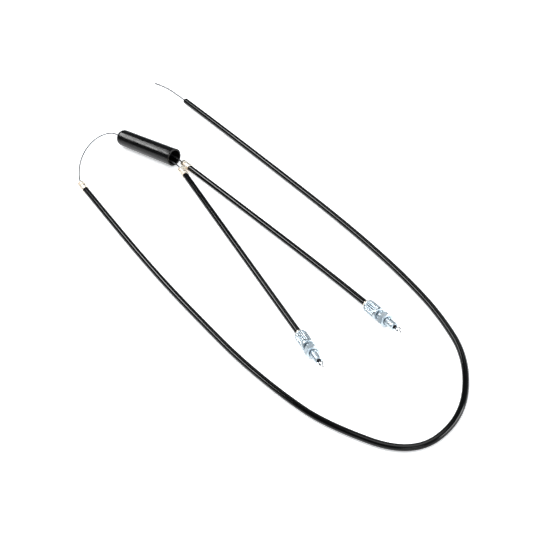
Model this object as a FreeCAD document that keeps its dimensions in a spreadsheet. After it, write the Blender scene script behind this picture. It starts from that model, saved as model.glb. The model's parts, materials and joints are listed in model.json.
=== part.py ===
import FreeCAD, Part
import math
import os
from FreeCAD import Vector, Placement, Rotation

# A one-into-two throttle cable lying on a flat surface, in millimetres.
# +X runs along the splitter, from its closed end to its mouth, and +Z is up.
# The origin is under the middle of the rigid pieces, on the surface.

SIZES = {
    # casing: jacket over a wound steel conduit over a nylon liner
    "sheath_radius": 2.5,
    "conduit_radius": 1.9,
    "liner_radius": 1.3,
    "liner_bore_radius": 1.0,
    "wire_radius": 0.6,
    # end ferrules, five alike
    "ferrule_radius": 3.0,
    "ferrule_length": 12.0,
    "ferrule_wall": 2.0,
    "wire_hole_radius": 0.9,
    "ferrule_edge": 0.3,
    # splitter tube and the slider in it
    "splitter_length": 70.8,
    "splitter_mouth_radius": 7.75,
    "splitter_closed_radius": 7.2,
    "splitter_bore_radius": 6.2,
    "splitter_end_wall": 3.5,
    "splitter_dome": 5.6,
    "splitter_hole_radius": 1.2,
    "slider_radius": 6.1,
    "slider_length": 14.0,
    "slider_depth": 34.8,
    "nipple_radius": 2.0,
    "pull_nipple_length": 5.0,
    "branch_nipple_length": 4.0,
    "branch_pocket_depth": 4.5,
    "branch_offset": 3.4,
    # adjusters, lock nuts and ball nipples, placed from the visible end of a branch casing
    "barrel_start": 3.0,
    "barrel_length": 15.0,
    "barrel_radius": 5.0,
    "barrel_edge": 0.6,
    "seat_radius": 3.1,
    "seat_depth": 9.1,
    "shank_radius": 3.0,
    "shank_length": 19.7,
    "shank_edge": 0.5,
    "adjuster_bore_radius": 1.7,
    "nut_across_flats": 10.0,
    "nut_length": 5.0,
    "nut_bore_radius": 3.05,
    "left_nut_gap": 4.0,
    "right_nut_gap": 4.8,
    "ball_radius": 2.5,
    "ball_centre": 42.5,
    # lengths of wire that slide with the pull end and the ball nipples
    "pull_end_inside": 14.0,
    "ball_wire_inside": 16.0,
    "ball_wire_past": 2.2,
    "wire_gap": 0.2,
    "ferrule_lead": 6.0,
}

# Each route is the middle line of a casing or a wire, from run to run.
LONG_ROUTE = [
    (-184.5, 137.5, 2.5),
    (-158.0, 130.6, 2.5),
    (-105.4, 116.6, 2.5),
    (-52.8, 102.4, 2.5),
    (-0.2, 88.0, 2.5),
    (52.4, 73.3, 2.5),
    (104.4, 57.4, 2.5),
    (156.5, 39.5, 2.5),
    (206.0, 19.0, 2.5),
    (253.5, -9.0, 2.5),
    (288.0, -58.5, 2.5),
    (280.0, -105.0, 2.5),
    (207.5, -112.5, 2.5),
    (161.0, -106.5, 2.5),
    (104.5, -94.5, 2.5),
    (53.5, -79.6, 2.5),
    (1.0, -63.7, 2.5),
    (-50.7, -46.5, 2.5),
    (-102.1, -28.2, 2.5),
    (-153.4, -9.7, 3.0),
    (-179.0, -0.3, 3.0),
]
LEFT_ROUTE = [
    (-109.7, 57.6, 3.02),
    (136.4, -55.6, 5.05),
]
RIGHT_ROUTE = [
    (-114.4, 65.5, 3.0),
    (-85.0, 58.6, 3.0),
    (-30.0, 45.4, 3.2),
    (27.0, 31.4, 3.7),
    (82.0, 17.5, 4.5),
    (130.0, 4.9, 5.0),
    (160.8, -3.35, 5.0),
]
# the bare pull wire past the casing's cut end, after its straight part inside
PULL_TAIL = [
    (-206.8, 143.3, 2.5),
    (-224.5, 146.6, 1.7),
    (-236.5, 147.2, 1.0),
]
# the slack loop between the long casing's ferrule and the splitter's closed end
LOOP_BENDS = [
    (-203.5, 19.0, 3.6),
    (-214.5, 37.0, 4.8),
    (-217.0, 54.0, 5.9),
    (-210.0, 64.5, 6.8),
    (-199.5, 65.0, 7.6),
    (-193.0, 63.93, 7.75),
]
# the branch wires between the slider and their ferrules
LEFT_FAN = [
    (-141.0, 60.53, 7.75),
    (-127.0, 60.6, 5.1),
]
RIGHT_FAN = [
    (-142.0, 67.33, 7.75),
    (-129.0, 67.3, 5.1),
]
SPLITTER_TIP = Vector(-194.693, 63.93, 7.75)

# the side of the splitter's axis that each branch wire is on
SIDES = {"left": -1, "right": 1}
# how far a branch wire runs straight before its casing's end
LEADS = {"left": 8.0, "right": 6.0}
ARC_SHARE = 0.45
TUBE_TOLERANCE = 0.01
TOUCH = 1e-6
FORWARD = Vector(1, 0, 0)
UPWARD = Vector(0, 0, 1)

doc = FreeCAD.newDocument("throttle_cable")
sheet = doc.addObject("Spreadsheet::Sheet", "sizes")
subparts = []
tube_checks = []


def fill_sheet():
    for row, (alias, value) in enumerate(SIZES.items(), start=1):
        sheet.set(f"A{row}", alias)
        sheet.set(f"B{row}", str(value))
        sheet.setAlias(f"B{row}", alias)
    doc.recompute()


def size(alias):
    return float(sheet.get(alias))


def bind(target, prop, expression):
    target.setExpression(prop, expression)


def keep(target, name, place):
    target.Label = name
    target.Placement = place
    subparts.append(target)


def along(start, direction):
    return Placement(start, Rotation(FORWARD, direction))


def points_of(route):
    return [Vector(*point) for point in route]


def heading(start, end):
    return (end - start).normalize()


# ---------------------------------------------------------------- tubes


def corner(before, bend, after):
    """The tangent arc at a bend: its start, middle and end, and its radius."""
    into = heading(before, bend)
    out = heading(bend, after)
    half_turn = into.getAngle(out) / 2
    reach = ARC_SHARE * min((bend - before).Length, (after - bend).Length)
    radius = reach / math.tan(half_turn)
    inward = (out - into).normalize()
    middle = bend + inward * (reach / math.sin(half_turn) - radius)
    return bend - into * reach, middle, bend + out * reach, radius


def route_wire(name, points):
    """Straight runs joined by tangent arcs, as one wire."""
    edges = []
    radii = []
    start = points[0]
    for before, bend, after in zip(points, points[1:], points[2:]):
        first, middle, last, radius = corner(before, bend, after)
        edges.append(Part.LineSegment(start, first).toShape())
        edges.append(Part.Arc(first, middle, last).toShape())
        radii.append(round(radius, 1))
        start = last
    edges.append(Part.LineSegment(start, points[-1]).toShape())
    line = doc.addObject("Part::Feature", f"{name}_line")
    line.Shape = Part.Wire(edges)
    print(name, "length", round(line.Shape.Length, 1), "radii", radii)
    return line


def swept_disc(name, line, points, radius_alias):
    ring = doc.addObject("Part::Circle", f"{name}_ring")
    bind(ring, "Radius", f"sizes.{radius_alias}")
    ring.Placement = Placement(points[0], Rotation(UPWARD, points[1] - points[0]))
    sweep = doc.addObject("Part::Sweep", f"{name}_sweep")
    sweep.Sections = [ring]
    sweep.Spine = (line, [])
    sweep.Solid = True
    return sweep


def rod(name, points, radius_alias):
    """A solid wire along a route."""
    line = route_wire(name, points)
    sweep = swept_disc(name, line, points, radius_alias)
    area = math.pi * size(radius_alias) ** 2
    tube_checks.append((sweep, area * line.Shape.Length))
    keep(sweep, name, Placement())


def layer(name, line, points, outer_alias, inner_alias):
    """One hollow layer of a casing along a route that its layers share."""
    solid = swept_disc(f"{name}_outer", line, points, outer_alias)
    hollow = swept_disc(f"{name}_inner", line, points, inner_alias)
    tube = doc.addObject("Part::Cut", name)
    tube.Base = solid
    tube.Tool = hollow
    area = math.pi * (size(outer_alias) ** 2 - size(inner_alias) ** 2)
    tube_checks.append((tube, area * line.Shape.Length))
    keep(tube, name, Placement())


def casing(prefix, route):
    points = points_of(route)
    line = route_wire(f"{prefix}_casing", points)
    layer(f"{prefix}_casing_sheath", line, points, "sheath_radius", "conduit_radius")
    layer(f"{prefix}_casing_conduit", line, points, "conduit_radius", "liner_radius")
    layer(f"{prefix}_casing_liner", line, points, "liner_radius", "liner_bore_radius")


# ---------------------------------------------------------------- turned pieces


def cylinder(name, radius, length, start="0", side="0"):
    """A cylinder along +X from start, with its axis moved sideways along +Y."""
    disc = doc.addObject("Part::Cylinder", name)
    disc.Placement = Placement(Vector(), Rotation(UPWARD, FORWARD))
    bind(disc, "Radius", radius)
    bind(disc, "Height", length)
    bind(disc, "Placement.Base.x", start)
    bind(disc, "Placement.Base.y", side)
    return disc


def cut(name, base, tools):
    """The base with every tool taken out of it."""
    joined = doc.addObject("Part::MultiFuse", f"{name}_holes")
    joined.Shapes = tools
    result = doc.addObject("Part::Cut", name)
    result.Base = base
    result.Tool = joined
    return result


def edge_at(shape, x, radius):
    """The number of the round edge that stands at x with this radius."""
    for number, edge in enumerate(shape.Edges, start=1):
        curve = edge.Curve
        if not isinstance(curve, Part.Circle):
            continue
        if abs(curve.Center.x - x) < TOUCH and abs(curve.Radius - radius) < TOUCH:
            return number
    raise ValueError(f"no round edge of radius {radius} at {x}")


def dressed(kind, name, base, edges):
    """A Part::Chamfer or Part::Fillet of round edges, each an (x, radius, amount)."""
    doc.recompute()
    result = doc.addObject(kind, name)
    result.Base = base
    result.Edges = [(edge_at(base.Shape, x, radius), amount, amount) for x, radius, amount in edges]
    return result


def ferrule(name, point, direction):
    """A cup pressed over a casing's end, with the wire's hole in its end wall.
    The point is the inner face of that wall, and the direction leaves the casing."""
    length = size("ferrule_length")
    shell = cylinder(f"{name}_shell", "sizes.ferrule_radius", "sizes.ferrule_length")
    rim = (length, size("ferrule_radius"), size("ferrule_edge"))
    shell = dressed("Part::Chamfer", f"{name}_turned", shell, [rim])
    depth = "sizes.ferrule_length - sizes.ferrule_wall"
    seat = cylinder(f"{name}_seat", "sizes.sheath_radius", depth)
    hole = cylinder(f"{name}_hole", "sizes.wire_hole_radius", "sizes.ferrule_length")
    back = length - size("ferrule_wall")
    keep(cut(name, shell, [seat, hole]), name, along(point - direction * back, direction))


def splitter_body():
    """A drafted tube with a domed closed end, bored from its mouth."""
    name = "splitter_body"
    shell = doc.addObject("Part::Cone", f"{name}_shell")
    shell.Placement = Placement(Vector(), Rotation(UPWARD, FORWARD))
    bind(shell, "Radius1", "sizes.splitter_closed_radius")
    bind(shell, "Radius2", "sizes.splitter_mouth_radius")
    bind(shell, "Height", "sizes.splitter_length")
    dome = (0, size("splitter_closed_radius"), size("splitter_dome"))
    shell = dressed("Part::Fillet", f"{name}_domed", shell, [dome])
    depth = "sizes.splitter_length - sizes.splitter_end_wall"
    bore = cylinder(f"{name}_bore", "sizes.splitter_bore_radius", depth, "sizes.splitter_end_wall")
    hole = cylinder(f"{name}_hole", "sizes.splitter_hole_radius", "sizes.splitter_length")
    keep(cut(name, shell, [bore, hole]), name, along(SPLITTER_TIP, FORWARD))


def splitter_slider(start):
    """The piston that joins the wires: the pull wire's pocket opens forwards, the others back."""
    name = "splitter_slider"
    plug = cylinder(f"{name}_plug", "sizes.slider_radius", "sizes.slider_length")
    pocket_start = "sizes.slider_length - sizes.pull_nipple_length"
    pocket = cylinder(
        f"{name}_pocket", "sizes.nipple_radius", "sizes.pull_nipple_length", pocket_start
    )
    tools = [cylinder(f"{name}_hole", "sizes.wire_hole_radius", "sizes.slider_length"), pocket]
    for side, sign in SIDES.items():
        offset = f"{sign} * sizes.branch_offset"
        tools.append(
            cylinder(
                f"{side}_slider_hole", "sizes.wire_hole_radius", "sizes.slider_length", "0", offset
            )
        )
        tools.append(
            cylinder(
                f"{side}_slider_pocket",
                "sizes.nipple_radius",
                "sizes.branch_pocket_depth",
                "0",
                offset,
            )
        )
    keep(cut(name, plug, tools), name, along(start, FORWARD))


def drum(name, length, point):
    """A soldered drum on a wire's end, in its pocket of the slider."""
    body = doc.addObject("Part::Cylinder", name)
    bind(body, "Radius", "sizes.nipple_radius")
    bind(body, "Height", length)
    keep(body, name, Placement(point, Rotation(UPWARD, FORWARD)))


def adjuster(side, point, direction):
    """A knurled barrel and an M6 shank in one, bored for the wire, with a seat for the ferrule."""
    name = f"{side}_adjuster"
    start = "sizes.barrel_start"
    front = f"{start} + sizes.barrel_length"
    barrel = cylinder(f"{name}_barrel", "sizes.barrel_radius", "sizes.barrel_length", start)
    barrel_front = size("barrel_start") + size("barrel_length")
    rims = [
        (size("barrel_start"), size("barrel_radius"), size("barrel_edge")),
        (barrel_front, size("barrel_radius"), size("barrel_edge")),
    ]
    barrel = dressed("Part::Chamfer", f"{name}_turned_barrel", barrel, rims)
    shank = cylinder(f"{name}_shank", "sizes.shank_radius", "sizes.shank_length", front)
    rim = (barrel_front + size("shank_length"), size("shank_radius"), size("shank_edge"))
    shank = dressed("Part::Chamfer", f"{name}_turned_shank", shank, [rim])
    blank = doc.addObject("Part::MultiFuse", f"{name}_blank")
    blank.Shapes = [barrel, shank]
    seat = cylinder(f"{name}_seat", "sizes.seat_radius", "sizes.seat_depth", start)
    reach = "sizes.barrel_length + sizes.shank_length"
    bore = cylinder(f"{name}_bore", "sizes.adjuster_bore_radius", reach, start)
    keep(cut(name, blank, [seat, bore]), name, along(point, direction))


def lock_nut(side, point, direction):
    """An M6 hexagon nut on the shank, lying on a flat."""
    name = f"{side}_lock_nut"
    blank = doc.addObject("Part::Prism", f"{name}_blank")
    blank.Polygon = 6
    bind(blank, "Circumradius", "sizes.nut_across_flats / 2 / cos(30)")
    bind(blank, "Height", "sizes.nut_length")
    flat_down = Rotation(FORWARD, 30)
    blank.Placement = Placement(Vector(), flat_down.multiply(Rotation(UPWARD, FORWARD)))
    hole = cylinder(f"{name}_hole", "sizes.nut_bore_radius", "sizes.nut_length")
    nut = doc.addObject("Part::Cut", name)
    nut.Base = blank
    nut.Tool = hole
    gap = size("barrel_start") + size("barrel_length") + size(f"{side}_nut_gap")
    keep(nut, name, along(point + direction * gap, direction))


def ball_nipple(side, point, direction):
    """A ball soldered on the end of a branch wire, with its poles on the wire's axis."""
    name = f"{side}_ball_nipple"
    ball = doc.addObject("Part::Sphere", f"{name}_ball")
    ball.Placement = Placement(Vector(), Rotation(UPWARD, FORWARD))
    bind(ball, "Radius", "sizes.ball_radius")
    hole = cylinder(f"{name}_hole", "sizes.wire_radius", "2 * sizes.ball_radius")
    bind(hole, "Placement.Base.x", "-sizes.ball_radius")
    nipple = doc.addObject("Part::Cut", name)
    nipple.Base = ball
    nipple.Tool = hole
    keep(nipple, name, along(point + direction * size("ball_centre"), direction))


def straight_wire(name, start, end):
    """A straight piece of wire that slides as one with its nipple."""
    body = doc.addObject("Part::Cylinder", name)
    bind(body, "Radius", "sizes.wire_radius")
    body.Height = (end - start).Length
    keep(body, name, Placement(start, Rotation(UPWARD, heading(start, end))))


# ---------------------------------------------------------------- the assembly


def long_side():
    """The long casing, its ferrule, and the pull wire from its bare end to the slider."""
    points = points_of(LONG_ROUTE)
    casing("long", LONG_ROUTE)
    into = heading(points[0], points[1])
    inside = points[0] + into * size("pull_end_inside")
    rod("pull_wire_end", [inside] + points_of(PULL_TAIL), "wire_radius")
    rod("pull_wire_core", [inside + into * size("wire_gap")] + points[1:], "wire_radius")
    out = heading(points[-2], points[-1])
    ferrule("long_casing_ferrule", points[-1], out)
    lead = points[-1] + out * size("ferrule_lead")
    pocket = size("slider_length") - size("pull_nipple_length") - size("wire_gap")
    last = slider_start() + FORWARD * pocket
    rod("slack_loop_wire", [points[-1], lead] + points_of(LOOP_BENDS) + [last], "wire_radius")


def slider_start():
    return SPLITTER_TIP + FORWARD * size("slider_depth")


def junction():
    """The splitter tube, the slider in it and the three drums in the slider."""
    splitter_body()
    start = slider_start()
    splitter_slider(start)
    front = size("slider_length") - size("pull_nipple_length")
    drum("pull_wire_nipple", "sizes.pull_nipple_length", start + FORWARD * front)
    for side, sign in SIDES.items():
        play = size("branch_pocket_depth") - size("branch_nipple_length")
        across = Vector(0, sign * size("branch_offset"), 0)
        point = start + FORWARD * play + across
        drum(f"{side}_slider_nipple", "sizes.branch_nipple_length", point)


def branch_wire(side, route, fan, visible_end, direction):
    """The wire from its drum in the slider, through the casing, to its sliding end."""
    pocket = size("branch_pocket_depth") + size("wire_gap")
    across = Vector(0, SIDES[side] * size("branch_offset"), 0)
    start = slider_start() + FORWARD * pocket + across
    lead = route[0] - heading(route[0], route[1]) * LEADS[side]
    inside = size("ball_wire_inside") + size("wire_gap")
    end = visible_end - direction * inside
    points = [start] + points_of(fan) + [lead] + route[1:-1] + [end]
    rod(f"{side}_branch_wire", points, "wire_radius")


def branch(side, route, fan):
    """One branch casing with both ferrules, its wire, adjuster, lock nut and ball nipple."""
    points = points_of(route)
    casing(side, route)
    direction = heading(points[-2], points[-1])
    visible_end = points[-1] - direction * (size("ferrule_length") - size("ferrule_wall"))
    ferrule(f"{side}_splitter_ferrule", points[0], heading(points[1], points[0]))
    ferrule(f"{side}_adjuster_ferrule", points[-1], direction)
    branch_wire(side, points, fan, visible_end, direction)
    start = visible_end - direction * size("ball_wire_inside")
    end = visible_end + direction * (size("ball_centre") + size("ball_wire_past"))
    straight_wire(f"{side}_wire_end", start, end)
    adjuster(side, visible_end, direction)
    lock_nut(side, visible_end, direction)
    ball_nipple(side, visible_end, direction)
    print(side, "axis", direction, "visible casing end", visible_end)


def failed_objects():
    return [item.Label for item in doc.Objects if {"Invalid", "Error"} & set(item.State)]


def check_subparts():
    """Stop before anything is written if a piece failed or a tube lost volume."""
    doc.recompute()
    if failed_objects():
        raise RuntimeError(f"failed: {failed_objects()}")
    for item in subparts:
        if item.Shape.isNull() or not item.Shape.isValid():
            raise RuntimeError(f"bad shape: {item.Label}")
    for tube, expected in tube_checks:
        share = tube.Shape.Volume / expected
        if abs(share - 1) > TUBE_TOLERANCE:
            raise RuntimeError(f"{tube.Label} has {share:.3f} of its section times its length")


def export_subparts():
    os.makedirs("parts", exist_ok=True)
    for item in subparts:
        item.Shape.exportStep(f"parts/{item.Label}.step")
    print(len(subparts), "pieces written")


def report_box():
    """Print the box of the rigid pieces, which the origin stands under the middle of."""
    flexible = ("sheath", "conduit", "liner", "_wire", "core", "pull_wire_end")
    box = FreeCAD.BoundBox()
    for item in subparts:
        if not item.Label.endswith(flexible):
            box.add(item.Shape.optimalBoundingBox())
    print("rigid pieces", box)


fill_sheet()
long_side()
junction()
branch("left", LEFT_ROUTE, LEFT_FAN)
branch("right", RIGHT_ROUTE, RIGHT_FAN)
check_subparts()
report_box()
export_subparts()
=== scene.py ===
# %% [markdown]
# # A throttle cable that splits in two
# One pull wire comes down a long black casing, leaves it in a bare loop and goes into a dark
# junction tube. A slider in the tube carries two more wires, which leave through the open mouth,
# run down two short casings and end in small balls, past a knurled adjuster and a lock nut each.
#
# This notebook dresses the working model of that cable. The working model is loaded first and
# its shapes are never changed: every new piece is built around it, in metres, and told which
# part it moves with.

import bisect
import json
import math

import bmesh
import bpy
from mathutils import Matrix, Vector


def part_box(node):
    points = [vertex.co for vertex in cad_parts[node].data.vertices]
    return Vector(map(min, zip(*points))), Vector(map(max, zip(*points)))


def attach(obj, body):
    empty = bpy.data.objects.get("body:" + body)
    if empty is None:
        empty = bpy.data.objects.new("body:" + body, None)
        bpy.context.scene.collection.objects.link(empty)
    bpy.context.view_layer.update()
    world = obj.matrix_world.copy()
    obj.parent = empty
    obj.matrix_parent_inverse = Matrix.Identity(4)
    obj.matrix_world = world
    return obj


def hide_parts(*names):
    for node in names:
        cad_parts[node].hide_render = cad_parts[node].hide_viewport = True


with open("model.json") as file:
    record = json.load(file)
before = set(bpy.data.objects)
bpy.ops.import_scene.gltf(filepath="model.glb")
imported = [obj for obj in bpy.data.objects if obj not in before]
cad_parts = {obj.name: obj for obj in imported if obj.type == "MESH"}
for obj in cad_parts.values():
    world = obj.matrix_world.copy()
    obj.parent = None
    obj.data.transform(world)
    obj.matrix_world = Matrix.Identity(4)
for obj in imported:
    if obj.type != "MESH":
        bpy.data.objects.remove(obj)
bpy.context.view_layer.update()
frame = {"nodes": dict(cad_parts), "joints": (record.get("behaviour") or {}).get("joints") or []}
joints = {joint["name"]: joint for joint in frame["joints"]}
MM = 0.001
UP = Vector((0, 0, 1))

# %% [markdown]
# ## The camera
# The cable lies flat, so the camera looks down at it, from 38 degrees above the table.
# It could be aimed with a constraint, but a place, an aim and a roll in three named values say
# the same and can be read. The long lens keeps the casing almost the same width all round.

# %% Camera
CAMERA_PLACE = Vector((0.8953, -0.6596, 0.8318))
CAMERA_AIM = Vector((0.0519, -0.0037, 0.0))
CAMERA_ROLL = math.radians(-15.2)
CAMERA_LENS = 114.05
SENSOR_WIDTH = 36.0

camera_data = bpy.data.cameras.new("camera")
camera_data.lens = CAMERA_LENS
camera_data.sensor_width = SENSOR_WIDTH
camera = bpy.data.objects.new("camera", camera_data)
bpy.context.scene.collection.objects.link(camera)
looking = (CAMERA_AIM - CAMERA_PLACE).to_track_quat("-Z", "Y").to_matrix().to_4x4()
camera.matrix_world = Matrix.Translation(CAMERA_PLACE) @ looking @ Matrix.Rotation(CAMERA_ROLL, 4, "Z")
bpy.context.scene.camera = camera
print("camera stands", round((CAMERA_AIM - CAMERA_PLACE).length, 3), "m from its aim")

# %% [markdown]
# ## The routes of the casings and wires
# A casing is stiff and springy, so it lies in long easy curves. Each route below is a short list
# of places, and a NURBS spline of order 3 makes one smooth curve of them. The
# spline meets only the first and the last place. It rounds each corner, as the casing does.

# %% Routes, in metres
LONG_ROUTE = [
    (-0.1845, 0.1375, 0.0025),
    (-0.158, 0.1306, 0.0025),
    (-0.1054, 0.1166, 0.0025),
    (-0.0528, 0.1024, 0.0025),
    (-0.0002, 0.088, 0.0025),
    (0.0524, 0.0733, 0.0025),
    (0.1044, 0.0574, 0.0025),
    (0.1565, 0.0395, 0.0025),
    (0.206, 0.019, 0.0025),
    (0.2535, -0.009, 0.0025),
    (0.288, -0.0585, 0.0025),
    (0.28, -0.105, 0.0025),
    (0.2075, -0.1125, 0.0025),
    (0.161, -0.1065, 0.0025),
    (0.1045, -0.0945, 0.0025),
    (0.0535, -0.0796, 0.0025),
    (0.001, -0.0637, 0.0025),
    (-0.0507, -0.0465, 0.0025),
    (-0.1021, -0.0282, 0.0025),
    (-0.1534, -0.0097, 0.003),
    (-0.179, -0.0003, 0.003),
]
BRANCH_ROUTES = {
    "left": [(-0.1097, 0.0576, 0.00302), (0.01335, 0.001, 0.004035), (0.1364, -0.0556, 0.00505)],
    "right": [
        (-0.1144, 0.0655, 0.003),
        (-0.085, 0.0586, 0.003),
        (-0.03, 0.0454, 0.0032),
        (0.027, 0.0314, 0.0037),
        (0.082, 0.0175, 0.0045),
        (0.13, 0.0049, 0.005),
        (0.1608, -0.00335, 0.005),
    ],
}
# the bare end of the pull wire, past the long casing's cut end
PULL_TAIL = [(-0.2068, 0.1433, 0.0025), (-0.2245, 0.1466, 0.0017), (-0.2365, 0.1472, 0.001)]
LOOP_BENDS = [
    (-0.2035, 0.019, 0.0036),
    (-0.2145, 0.037, 0.0048),
    (-0.217, 0.054, 0.0059),
    (-0.21, 0.0645, 0.0068),
    (-0.1995, 0.065, 0.0076),
    (-0.193, 0.06393, 0.00775),
]
# where each branch wire bends between the slider and its casing
FANS = {
    "left": [(-0.141, 0.06053, 0.00775), (-0.127, 0.0606, 0.0051)],
    "right": [(-0.142, 0.06733, 0.00775), (-0.129, 0.0673, 0.0051)],
}
# how far each wire runs straight on from the end of its casing
LEADS = {"left": 0.008, "right": 0.006}
FERRULE_LEAD = 0.006
# how far the pull wire's sliding end reaches into the casing, and the gap between split wires
PULL_END_INSIDE = 0.014
WIRE_GAP = 0.0002
print(len(LONG_ROUTE), "places on the long route,", len(BRANCH_ROUTES), "branches")

# %% [markdown]
# ## Reading a line from a spline
# Everything that follows a cord, its jacket, its strands, its ribs, has to follow the same line.
# So the spline is turned into a row of close points once, and a small class answers where the
# line is, and which way it heads, at any distance along it.

# %% Lines
SPLINE_STEPS = 200
PROBE = 0.0006
BEND_SPAN = 0.006


def read_spline(name, route):
    """The close points of the smooth curve that a route makes."""
    curve = bpy.data.curves.new(name, "CURVE")
    curve.dimensions = "3D"
    spline = curve.splines.new("NURBS")
    spline.points.add(len(route) - 1)
    for point, place in zip(spline.points, route):
        point.co = (*place, 1.0)
    spline.order_u = 3
    spline.use_endpoint_u = True
    spline.resolution_u = SPLINE_STEPS
    holder = bpy.data.objects.new(name, curve)
    mesh = bpy.data.meshes.new_from_object(holder)
    points = [vertex.co.copy() for vertex in mesh.vertices]
    bpy.data.objects.remove(holder)
    bpy.data.curves.remove(curve)
    bpy.data.meshes.remove(mesh)
    return points


class Line:
    """The middle line of a cord, which gives a place and a heading at any distance."""

    def __init__(self, points):
        self.points = points
        self.marks = [0.0]
        for before, after in zip(points, points[1:]):
            self.marks.append(self.marks[-1] + (after - before).length)
        self.length = self.marks[-1]

    def at(self, distance):
        last = len(self.points) - 2
        index = min(max(bisect.bisect_right(self.marks, distance) - 1, 0), last)
        run = self.marks[index + 1] - self.marks[index]
        share = (distance - self.marks[index]) / run
        return self.points[index].lerp(self.points[index + 1], share)

    def heading(self, distance):
        ahead = min(distance + PROBE, self.length)
        behind = max(distance - PROBE, 0.0)
        return (self.at(ahead) - self.at(behind)).normalized()

    def bend(self, distance):
        """How sharply the line turns, in radians per metre."""
        ahead = min(distance + BEND_SPAN, self.length)
        behind = max(distance - BEND_SPAN, 0.0)
        return self.heading(ahead).angle(self.heading(behind)) / (ahead - behind)


def line_of(name, route):
    line = Line(read_spline(name, route))
    print(name, round(line.length, 4), "m")
    return line


long_line = line_of("long_casing", LONG_ROUTE)
branch_lines = {side: line_of(f"{side}_casing", route) for side, route in BRANCH_ROUTES.items()}

# %% [markdown]
# ## Adding a node to a material
# Every finish below is a small node tree. One function adds any node with its settings and its
# links, so that a finish reads as a list of what it is made of.
#
# Colours are written the way a colour chart gives them, as sRGB hex, and turned to the linear
# values that the renderer works in. Patterns are sized in millimetres of the real surface.

# %% Material helpers
# a wave texture's sine repeats every twentieth of a full turn at a scale of one
WAVE_PERIOD = 2 * math.pi / 20


def linear(code):
    """An sRGB hex colour as linear red, green, blue and alpha."""
    parts = [int(code[i : i + 2], 16) / 255 for i in (1, 3, 5)]
    shades = [p / 12.92 if p <= 0.04045 else ((p + 0.055) / 1.055) ** 2.4 for p in parts]
    return (*shades, 1.0)


def per_mm(size_mm):
    """The scale of a pattern whose grain is this many millimetres wide."""
    return 1000.0 / size_mm


def bands_per_mm(pitch_mm):
    """The scale of a wave texture whose bands are this many millimetres apart."""
    return WAVE_PERIOD * 1000.0 / pitch_mm


def add(tree, kind, values, **settings):
    """A node with its settings. Each value is put on its input, or linked if it is a socket."""
    node = tree.nodes.new(kind)
    for name, setting in settings.items():
        setattr(node, name, setting)
    for socket, value in values.items():
        if isinstance(value, bpy.types.NodeSocket):
            tree.links.new(value, node.inputs[socket])
        else:
            node.inputs[socket].default_value = value
    return node


def start_finish(name, values):
    """A new material, its tree and its shader, with the plain values set on the shader."""
    material = bpy.data.materials.new(name)
    material.use_nodes = True
    tree = material.node_tree
    shader = tree.nodes["Principled BSDF"]
    for socket, value in values.items():
        shader.inputs[socket].default_value = value
    return material, tree, shader


# %% [markdown]
# ## Casing jacket: extruded black PVC
# The jacket is soft PVC drawn over the steel winding while hot. It comes out glossy, with very
# fine lines along its length from the die and a slow wander in its gloss. Its gloss could be a
# clear coat, but PVC has only one surface, so plain low roughness is the truer way. Its index of
# refraction is set below that of real PVC, which keeps its sides dark over a white floor.

# %% Extruded PVC
casing_pvc, tree, shader = start_finish(
    "extruded_black_pvc", {"Base Color": linear("#060606"), "Roughness": 0.12, "IOR": 1.36}
)
surface = add(tree, "ShaderNodeTexCoord", {})
# die lines: 0.35 mm apart round the jacket and a few centimetres long
stretched = add(tree, "ShaderNodeMapping", {"Vector": surface.outputs["UV"], "Scale": (1.0, 0.01, 1.0)})
die_lines = add(
    tree, "ShaderNodeTexNoise", {"Vector": stretched.outputs[0], "Scale": per_mm(0.35), "Detail": 3.0}
)
wander = add(
    tree,
    "ShaderNodeTexNoise",
    {"Vector": surface.outputs["Object"], "Scale": per_mm(14.0), "Detail": 4.0, "Roughness": 0.6},
)
gloss = add(
    tree,
    "ShaderNodeMapRange",
    {"Value": wander.outputs[0], "From Min": 0.3, "From Max": 0.7, "To Min": 0.08, "To Max": 0.13},
)
tone = add(
    tree,
    "ShaderNodeMix",
    {0: wander.outputs[0], 6: linear("#050505"), 7: linear("#0b0a0a")},
    data_type="RGBA",
)
skin = add(
    tree,
    "ShaderNodeBump",
    {"Height": die_lines.outputs[0], "Strength": 0.1, "Distance": 0.004 * MM},
)
tree.links.new(gloss.outputs[0], shader.inputs["Roughness"])
tree.links.new(tone.outputs[2], shader.inputs["Base Color"])
tree.links.new(skin.outputs[0], shader.inputs["Normal"])
print(casing_pvc.name)

# %% [markdown]
# ## Winding, liner and wires
# Under the jacket, flat steel wire is wound into a tight spring, and a nylon tube lines it. They
# show only at the cut end, so a band pattern along the length is enough for the winding. The
# inner wire is 19 fine galvanised strands, dull grey with a slow change of tone.

# %% Wound steel, nylon and galvanised strand
conduit_steel, tree, shader = start_finish(
    "wound_flat_steel", {"Base Color": linear("#8f9194"), "Metallic": 1.0, "Roughness": 0.36}
)
surface = add(tree, "ShaderNodeTexCoord", {})
# the flat wire is 1.25 mm wide, so its edges repeat at that pitch along the length
bands = add(
    tree,
    "ShaderNodeTexWave",
    {"Vector": surface.outputs["UV"], "Scale": bands_per_mm(1.25), "Distortion": 0.2},
    wave_type="BANDS",
    bands_direction="Y",
)
edge = add(
    tree, "ShaderNodeBump", {"Height": bands.outputs[1], "Strength": 0.7, "Distance": 0.15 * MM}
)
# the tone goes darker and lighter with the same bands, once per coil
coil_band_tone = add(
    tree,
    "ShaderNodeMix",
    {0: bands.outputs[1], 6: linear("#4d4e50"), 7: linear("#9a9c9f")},
    data_type="RGBA",
)
tree.links.new(edge.outputs[0], shader.inputs["Normal"])
tree.links.new(coil_band_tone.outputs[2], shader.inputs["Base Color"])

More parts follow.
